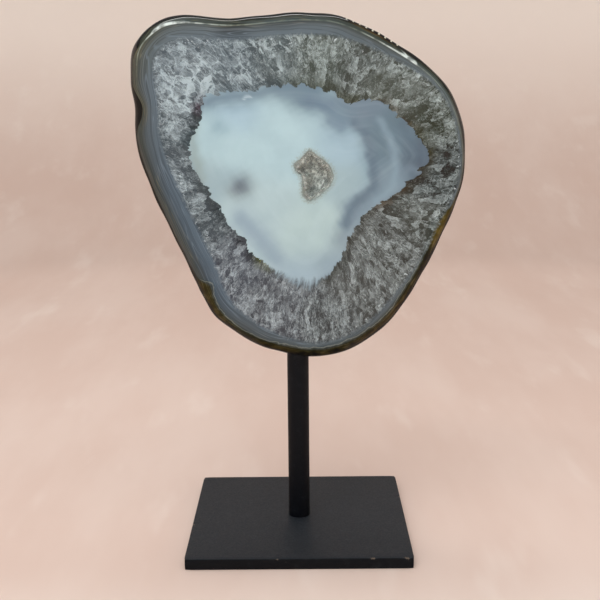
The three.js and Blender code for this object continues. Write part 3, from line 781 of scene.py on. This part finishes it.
    # Agate bands under the rind: olive outwards, blue-grey inwards, and fine lines of uneven spacing
    slow = g.noise(g.place(), scale=0.05, detail=2.0)
    layer = g.math("MULTIPLY_ADD", slow, 3.0, depth)
    strata = g.noise(g.join(g.math("MULTIPLY", ring_x, 0.02), g.math("MULTIPLY", ring_y, 0.02),
                            g.math("MULTIPLY", layer, 0.9)), detail=3.0, roughness=0.65)
    thin = g.cells(g.join(g.math("MULTIPLY", ring_x, 0.008), g.math("MULTIPLY", ring_y, 0.008),
                          g.math("MULTIPLY", layer, 0.5)), "DISTANCE_TO_EDGE")["Distance"]
    warped_share = g.math("MULTIPLY_ADD", g.math("SUBTRACT", strata, 0.5), 0.3, share)
    contour = g.noise(g.join(g.math("MULTIPLY", ring_x, 0.012), g.math("MULTIPLY", ring_y, 0.012),
                             g.math("MULTIPLY", layer, 0.3)), detail=1.0)
    contour = g.math("ABSOLUTE", g.math("SUBTRACT", g.math("FRACT", g.math("MULTIPLY", contour, 15.0)), 0.5))
    bands = g.mix(g.step(warped_share, 0.25, 0.62), g.mix(0.65, band_tint, seen(56, 53, 38)), band_tint)
    bands = g.mix(g.step(warped_share, 0.55, 0.95, 0.0, 0.6), bands, g.mix(0.4, band_tint, seen(116, 132, 146)))
    bands = g.mix(g.step(thin, 0.0, 0.13, 0.28, 0.0), bands, seen(30, 32, 34))
    bands = g.mix(g.step(strata, 0.55, 0.8, 0.0, 0.1), bands, seen(150, 158, 160))
    line_colour = g.mix(g.step(warped_share, 0.35, 0.7), seen(142, 128, 92), seen(140, 154, 168))
    line_share = g.math("MULTIPLY", g.step(contour, 0.0, 0.2, 1.0, 0.0), g.step(slow, 0.38, 0.6, 0.06, 0.24))
    line_share = g.math("MULTIPLY_ADD", g.step(contour, 0.0, 0.28, 0.45, 0.0), g.attribute("eye"), line_share)
    bands = g.mix(line_share, bands, line_colour)

    # Painted highlight: a pale line where the polished face meets the rounded rim, standing in for the lamps'
    # reflection there
    strength = g.attribute("edge_line")
    outward_width = g.step(strength, 0.75, 1.0, -0.45, -1.6)
    edge_line = g.math("MULTIPLY", g.step(g.attribute("edge"), outward_width, g.math("MULTIPLY", outward_width, 0.4)),
                       g.step(g.attribute("edge"), 0.05, 0.45, 1.0, 0.0))
    edge_line = g.math("MAXIMUM", edge_line, g.step(g.attribute("side_line"), 0.1, 0.5, 1.0, 0.0))
    broken = g.step(g.noise(g.place(), scale=0.25, detail=3.0), 0.35, 0.6, 0.25, 1.0)
    edge_highlight_share = g.math("MULTIPLY", g.math("MULTIPLY", edge_line, broken), strength)
    bands = g.mix(edge_highlight_share, bands, g.mix(strength, seen(150, 158, 132), seen(232, 234, 226)))

    # Rind on the rim, nearly black where it is thick and amber where light gets through it
    mottle = g.noise(g.place(), scale=0.16, detail=4.0, roughness=0.62)
    rind_colour = g.mix(g.step(mottle, 0.34, 0.64), g.mix(0.55, rind_tint, seen(6, 4, 3)), rind_tint)
    frayed_rind = g.math("MULTIPLY_ADD", g.math("SUBTRACT", mottle, 0.5), 0.7, rind)
    rind_colour = g.mix(g.step(frayed_rind, 0.35, 0.8, 0.0, 0.35), rind_colour, seen(64, 60, 38))
    rind_line = g.math("MULTIPLY", g.step(contour, 0.05, 0.25, 1.0, 0.0), g.step(mottle, 0.4, 0.6, 0.1, 0.5))
    rind_colour = g.mix(rind_line, rind_colour, g.mix(0.45, rind_tint, seen(150, 134, 100)))
    rind_colour = g.mix(g.step(depth, 0.3, 2.0, 0.9, 0.0), rind_colour, seen(8, 6, 5))
    skin = g.mix(g.step(frayed_rind, 0.7, 1.15), rind_colour, bands)
    rind_end = g.step(g.math("ABSOLUTE", g.math("SUBTRACT", frayed_rind, 1.05)), 0.0, 0.07, 1.0, 0.0)
    skin = g.mix(g.math("MULTIPLY", rind_end, g.step(depth, 2.2, 3.6, 0.0, 0.4)), skin, seen(160, 158, 142))

    # Painted glints: a row of small bright spots where pits in the rind catch the light
    pit_turn = g.math("DIVIDE", g.math("SUBTRACT", g.math("ARCTAN2", ring_y, ring_x), PIT_GLINT_ROW[0]), PIT_GLINT_SPACING)
    pit_glint = g.step(g.math("ABSOLUTE", g.math("SUBTRACT", g.math("FRACT", pit_turn), 0.5)), 0.04, 0.2, 1.0, 0.0)
    in_row = g.math("MULTIPLY", g.step(pit_turn, 0.0, 0.1), g.step(pit_turn, PIT_GLINT_ROW[1] - 0.1, PIT_GLINT_ROW[1], 1.0, 0.0))
    in_rim = g.math("MULTIPLY", g.step(through, -4.0, -2.5, 1.0, 0.0), g.step(depth, 0.5, 0.9, 1.0, 0.0))
    pit_glint_share = g.math("MULTIPLY", pit_glint, g.math("MULTIPLY", in_row, in_rim))
    skin = g.mix(g.math("MULTIPLY", pit_glint_share, 0.85), skin, seen(244, 232, 206))

    grain = g.noise(g.place(), scale=0.9, detail=2.0)
    quartz_share = g.step(g.math("MULTIPLY_ADD", grain, 3.0, band), 0.6, 2.8)
    colour = g.mix(quartz_share, skin, quartz)
    colour = g.mix(in_milk, colour, milk_colour)
    facets = g.between(inner, middle_slope, large_slope)
    quartz_only = g.math("MULTIPLY", quartz_share, g.math("SUBTRACT", 1.0, in_milk))
    relief = g.bump(g.math("MULTIPLY", facets, quartz_only), 0.9 * MM, 0.5)
    colour = g.vector("SUBTRACT", g.vector("MULTIPLY", colour, ROOM_CAST), MIRRORED_ROOM)
    colour = g.vector("MAXIMUM", colour, (0.003, 0.003, 0.003))
    on_rind = g.step(frayed_rind, 0.9, 1.5, 1.0, 0.0)
    return g.finish(base_color=colour, roughness=g.between(on_rind, 0.4, 0.8), specular_ior_level=0.12,
                    normal=relief, coat_weight=g.between(on_rind, 1.0, g.attribute("gloss")),
                    coat_roughness=0.03, coat_ior=1.42)


agate.data.materials.append(agate_material())
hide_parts("agate_slice")
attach(agate, "root")

# Crystals in the hollow
# The wall of the hollow carries a crust of small quartz crystals: a cloudy lining, and clear six-sided
# points that stand on it, grown into each other at their feet.
LINING_GAP = 0.03
LINING_THICKNESS = 1.4
LINING_MOUTH = 0.012
LINING_RUN_IN = 0.22
LINING_ROWS = 26
LINING_COLUMNS = 160
CRYSTAL_COUNT = 620
CRYSTAL_RADII = (0.22, 0.62)
CRYSTAL_SLENDERNESS = 2.1
CRYSTAL_TILT = 0.45
CRYSTAL_MOUTH_Y = FACE_Y + 0.35


def lining_rows(thickness, lumps):
    """Loops over the hollow's wall from its mouth to its floor, thin at the mouth, with crossed waves for lumps."""
    turn = np.arange(LINING_COLUMNS) / LINING_COLUMNS * 2 * np.pi
    depths = LINING_MOUTH + (1 - LINING_MOUTH) * np.sin(np.linspace(0, 1, LINING_ROWS) * np.pi / 2) ** 1.3
    waves = [np.sin(5 * turn + 9 * depth) + np.sin(11 * turn - 14 * depth) for depth in depths[:-1]]
    insets = LINING_GAP + thickness * np.clip((depths - LINING_MOUTH) / LINING_RUN_IN + 0.1, 0.1, 1)
    return [hollow_wall(turn, depth, inset + lumps * wave) for depth, inset, wave in zip(depths, insets, waves)]


outer_wall = lining_rows(0.0, 0.0)[::-1]
inner_wall = lining_rows(LINING_THICKNESS, 0.12)
lining_points = np.vstack([hollow_wall(np.zeros(1), 1.0, LINING_GAP), *outer_wall, *inner_wall,
                           hollow_wall(np.zeros(1), 1.0, LINING_GAP + LINING_THICKNESS)])
lining = add_mesh("druse_lining", lining_points, skin_faces(len(outer_wall) + len(inner_wall), LINING_COLUMNS))


def hexagon_points(roots, axes, radii, heights, turns):
    """Six-sided crystals: a foot ring, a shoulder ring at 0.6 of the height, and a point."""
    helper = np.where(np.abs(axes[:, :1]) < 0.9, np.array([[1.0, 0, 0]]), np.array([[0, 1.0, 0]]))
    side = np.cross(axes, helper)
    side /= np.linalg.norm(side, axis=1)[:, None]
    front = np.cross(axes, side)
    angle = turns[:, None] + np.arange(6) * np.pi / 3
    ring = (np.cos(angle)[..., None] * side[:, None] + np.sin(angle)[..., None] * front[:, None])
    foot = roots[:, None] + ring * radii[:, None, None]
    shoulder = foot + (axes * (heights * 0.6)[:, None])[:, None]
    tip = (roots + axes * heights[:, None])[:, None]
    return np.concatenate([foot, shoulder, tip], axis=1)


def crystal_cluster(seed):
    """Crystals strewn evenly over the wall, each along the wall's normal with a random lean."""
    rng = np.random.default_rng(seed)
    turn, depth = np.meshgrid(np.linspace(0, 2 * np.pi, 181)[:-1], np.linspace(0.06, 0.995, 60))
    inset = LINING_GAP + LINING_THICKNESS
    wall = hollow_wall(turn, depth, inset)
    along_turn = np.roll(wall, -1, axis=1) - np.roll(wall, 1, axis=1)
    along_depth = np.gradient(wall, axis=0)
    normal = np.cross(along_turn, along_depth)
    area = np.linalg.norm(normal, axis=-1)
    chosen = rng.choice(area.size, CRYSTAL_COUNT, replace=False, p=(area / area.sum()).ravel())
    inward = (normal / np.maximum(area, 1e-9)[..., None]).reshape(-1, 3)[chosen]
    roots = wall.reshape(-1, 3)[chosen]
    towards_mouth = np.array([HOLLOW_CENTRE[0], FACE_Y - 4, HOLLOW_CENTRE[1]]) - roots
    inward *= np.sign(np.sum(inward * towards_mouth, axis=1))[:, None]
    axes = inward + rng.normal(0, CRYSTAL_TILT, inward.shape)
    axes /= np.linalg.norm(axes, axis=1)[:, None]
    radii = rng.uniform(*CRYSTAL_RADII, CRYSTAL_COUNT)
    heights = radii * CRYSTAL_SLENDERNESS * rng.uniform(0.8, 1.7, CRYSTAL_COUNT)
    points = hexagon_points(roots - axes * 0.3, axes, radii, heights, rng.uniform(0, np.pi, CRYSTAL_COUNT))
    points[..., 1] = np.maximum(points[..., 1], CRYSTAL_MOUTH_Y)
    return points


def hexagon_faces(count):
    """The faces of the crystals, thirteen points each."""
    side = [(k, (k + 1) % 6, 6 + (k + 1) % 6, 6 + k) for k in range(6)]
    top = [(6 + k, 6 + (k + 1) % 6, 12) for k in range(6)]
    foot = [tuple(range(5, -1, -1))]
    return [tuple(13 * n + corner for corner in face) for n in range(count) for face in side + top + foot]


crystal_points = crystal_cluster(11)
crystals = add_mesh("druse_crystals", crystal_points.reshape(-1, 3), hexagon_faces(CRYSTAL_COUNT), smooth=False)


def lining_material():
    """Cloudy grey quartz, sugary; milky like the stone round it where it is thin, at the mouth."""
    g = Graph("druse_lining_quartz")
    grain = g.noise(g.place(), scale=1.6, detail=3.0, roughness=0.6)
    colour = g.mix(g.step(grain, 0.35, 0.68), seen(210, 217, 212), seen(236, 242, 238))
    below = g.math("SUBTRACT", g.split(g.place())[1], FACE_Y)
    thin = g.step(g.math("MULTIPLY_ADD", g.math("SUBTRACT", grain, 0.5), 3.0, below), 0.2, 1.6, 0.9, 0.0)
    colour = g.mix(thin, colour, seen(130, 143, 139))
    return g.finish(base_color=colour, roughness=0.35, normal=g.bump(grain, 0.25 * MM, 0.8))


def crystal_material():
    """Clear quartz with a faint smoky tint."""
    g = Graph("clear_quartz")
    return g.finish(base_color=seen(243, 250, 246), roughness=0.22, ior=1.54, transmission_weight=0.8)


lining.data.materials.append(lining_material())
crystals.data.materials.append(crystal_material())
for piece in (lining, crystals):
    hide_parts("druse_crust")
    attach(piece, "root")


# Rod
# A turned round steel rod, painted satin black, with a tenon down into the plate and a pin up into the stone.
PLATE_THICKNESS = 5
ROD_RADIUS = 5
ROD_EDGE_BREAK = 0.3
ROD_SHOULDER_Z = 85.2
PIN_RADIUS = 3
PIN_LENGTH = 14
TENON_LENGTH = 3.5
ROD_COLUMNS = 96


def eased(corners, radius, steps=5):
    """The corners of a profile rounded: each becomes a short curve that starts and ends a radius away."""
    corners = np.array(corners, float)
    t = np.linspace(0, 1, steps)[:, None]
    out = [corners[:1]]
    for before, corner, after in zip(corners[:-2], corners[1:-1], corners[2:]):
        start = corner + (before - corner) * min(0.5, radius / np.linalg.norm(before - corner))
        end = corner + (after - corner) * min(0.5, radius / np.linalg.norm(after - corner))
        out.append((1 - t) ** 2 * start + 2 * t * (1 - t) * corner + t ** 2 * end)
    return np.vstack([*out, corners[-1:]])


def turned_points(profile, columns):
    """A profile of (radius, z) carried once round the upright axis; its ends lie on the axis."""
    turn = -np.arange(columns) / columns * 2 * np.pi
    radius, height = profile[1:-1, 0][:, None], profile[1:-1, 1][:, None]
    loops = np.stack([radius * np.cos(turn), radius * np.sin(turn), np.broadcast_to(height, (len(radius), columns))],
                     axis=-1)
    ends = [np.array([[0, 0, profile[0, 1]]]), np.array([[0, 0, profile[-1, 1]]])]
    return np.vstack([ends[0], loops.reshape(-1, 3), ends[1]])


rod_profile = eased([
    (0, PLATE_THICKNESS - TENON_LENGTH), (PIN_RADIUS, PLATE_THICKNESS - TENON_LENGTH),
    (PIN_RADIUS, PLATE_THICKNESS), (ROD_RADIUS, PLATE_THICKNESS), (ROD_RADIUS, ROD_SHOULDER_Z),
    (PIN_RADIUS, ROD_SHOULDER_Z), (PIN_RADIUS, ROD_SHOULDER_Z + PIN_LENGTH), (0, ROD_SHOULDER_Z + PIN_LENGTH),
], ROD_EDGE_BREAK)
rod = add_mesh("post_rod", turned_points(rod_profile, ROD_COLUMNS), skin_faces(len(rod_profile) - 2, ROD_COLUMNS))
rod.data.set_sharp_from_angle(angle=np.radians(35))


def black_paint(name, wear=None):
    """Powder-coated steel: fine orange peel, faint dust, a painted sheen that lightens the faces that look up, and bare
    spots where the wear is above nothing.
    """
    g = Graph(name)
    peel = g.noise(g.place(), scale=1.5, detail=3.0, roughness=0.6)
    dust = g.step(g.noise(g.place(), scale=0.22, detail=5.0, roughness=0.72), 0.5, 0.78)
    # Faces that look up are painted lighter in the dust colour: a painted sheen of the light from above, on top of the
    # faint dust
    upward = g.split(g.nodes.new("ShaderNodeNewGeometry").outputs["Normal"])[2]
    upward_sheen = g.math("MULTIPLY_ADD", g.step(upward, 0.5, 0.95), 0.64, 0.03)
    colour = g.mix(g.math("MULTIPLY_ADD", dust, 0.3, upward_sheen, clamp=True), seen(2, 5, 11), seen(47, 51, 56))
    fleck = g.cells(g.vector("SCALE", g.place(), scale=0.7))
    fleck_spot = g.math("MULTIPLY", g.step(g.split(fleck["Color"])[0], 0.955, 0.975),
                        g.step(fleck["Distance"], 0.06, 0.16, 1.0, 0.0))
    colour = g.mix(g.math("MULTIPLY", fleck_spot, 0.35), colour, seen(104, 98, 94))
    roughness = g.step(peel, 0.3, 0.7, 0.46, 0.6)
    if wear:
        worn = g.math("MULTIPLY", g.attribute(wear), g.noise(g.place(), scale=1.3, detail=2.0))
        colour = g.mix(g.step(worn, 0.3, 0.42, 0.0, 0.8), colour, seen(112, 98, 86))
    return g.finish(base_color=colour, roughness=roughness, specular_ior_level=0.17,
                    normal=g.bump(peel, 0.06 * MM, 0.6))


rod.data.materials.append(black_paint("black_rod_paint"))
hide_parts("post")
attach(rod, "root")


# Base plate
# A square of five millimetre steel plate with a blind hole for the tenon, in the same black paint, which
# is chipped in a few places along the front edge.
PLATE_SIDE = 100
PLATE_CORNER_RADIUS = 1.2
PLATE_EDGE_BREAK = 0.5
FIT_GAP = 0.3
PLATE_COLUMNS = 400
# Chips in the top edge: (x, y, half length, depth)
PLATE_CHIPS = [(-9.5, -50, 1.0, 0.25), (32, -50, 1.8, 0.2), (47, -50, 2.2, 0.3), (-50, -12, 1.5, 0.2),
               (50, 21, 1.2, 0.2)]


def square_loop(half, corner, columns):
    """Points once round a square with rounded corners, clockwise from above, evenly spaced by direction."""
    turn = -np.arange(columns) / columns * 2 * np.pi - np.pi / 4
    x, y = np.cos(turn), np.sin(turn)
    scale = (half - corner) / np.maximum(np.abs(x), np.abs(y))
    core = np.stack([x * scale, y * scale], axis=-1)
    push = np.sign(core) * np.maximum(np.abs(core) - (half - corner) * 0.985, 0) / ((half - corner) * 0.015)
    push /= np.maximum(np.linalg.norm(push, axis=1), 1e-9)[:, None]
    return core + push * corner


def plate_rows():
    """Loops from the middle of the underside, round the eased edge, over the top and down the blind hole."""
    half = PLATE_SIDE / 2
    hole_radius = PIN_RADIUS + FIT_GAP
    turn = -np.arange(PLATE_COLUMNS) / PLATE_COLUMNS * 2 * np.pi - np.pi / 4
    circle = hole_radius * np.stack([np.cos(turn), np.sin(turn)], axis=-1)
    edge = square_loop(half, PLATE_CORNER_RADIUS, PLATE_COLUMNS)
    inner = square_loop(half - PLATE_EDGE_BREAK, PLATE_CORNER_RADIUS, PLATE_COLUMNS)
    rows = [(circle * 0.5, 0.0)] + [(circle + (inner - circle) * share, 0.0) for share in np.linspace(0, 1, 9)]
    for angle in np.radians([30, 60, 90]):
        rows.append((inner + (edge - inner) * np.sin(angle), PLATE_EDGE_BREAK * (1 - np.cos(angle))))
    for angle in np.radians([90, 60, 30]):
        rows.append((inner + (edge - inner) * np.sin(angle), PLATE_THICKNESS - PLATE_EDGE_BREAK * (1 - np.cos(angle))))
    rows += [(circle + (inner - circle) * share, PLATE_THICKNESS) for share in np.linspace(1, 0, 24)]
    hole_floor = PLATE_THICKNESS - TENON_LENGTH - FIT_GAP
    rows += [(circle, (PLATE_THICKNESS + hole_floor) / 2), (circle, hole_floor), (circle * 0.5, hole_floor)]
    return np.array([np.column_stack([flat, np.full(PLATE_COLUMNS, height)]) for flat, height in rows]), hole_floor


plate_loops, plate_hole_floor = plate_rows()
plate_points = np.vstack([[[0, 0, 0]], plate_loops.reshape(-1, 3), [[0, 0, plate_hole_floor]]])
plate_wear = np.zeros(len(plate_points))
for chip_x, chip_y, chip_length, chip_depth in PLATE_CHIPS:
    away = np.hypot(plate_points[:, 0] - chip_x, plate_points[:, 1] - chip_y) / chip_length
    below = np.abs(plate_points[:, 2] - PLATE_THICKNESS) / 0.7
    bell = np.exp(-away ** 2 - below ** 2)
    plate_points[:, 2] -= bell * chip_depth
    plate_wear += bell
plate = add_mesh("base_plate_steel", plate_points, skin_faces(len(plate_loops), PLATE_COLUMNS))
plate.data.set_sharp_from_angle(angle=np.radians(40))
add_attribute(plate, "wear", plate_wear)
plate.data.materials.append(black_paint("black_plate_paint", wear="wear"))
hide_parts("base_plate")
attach(plate, "root")
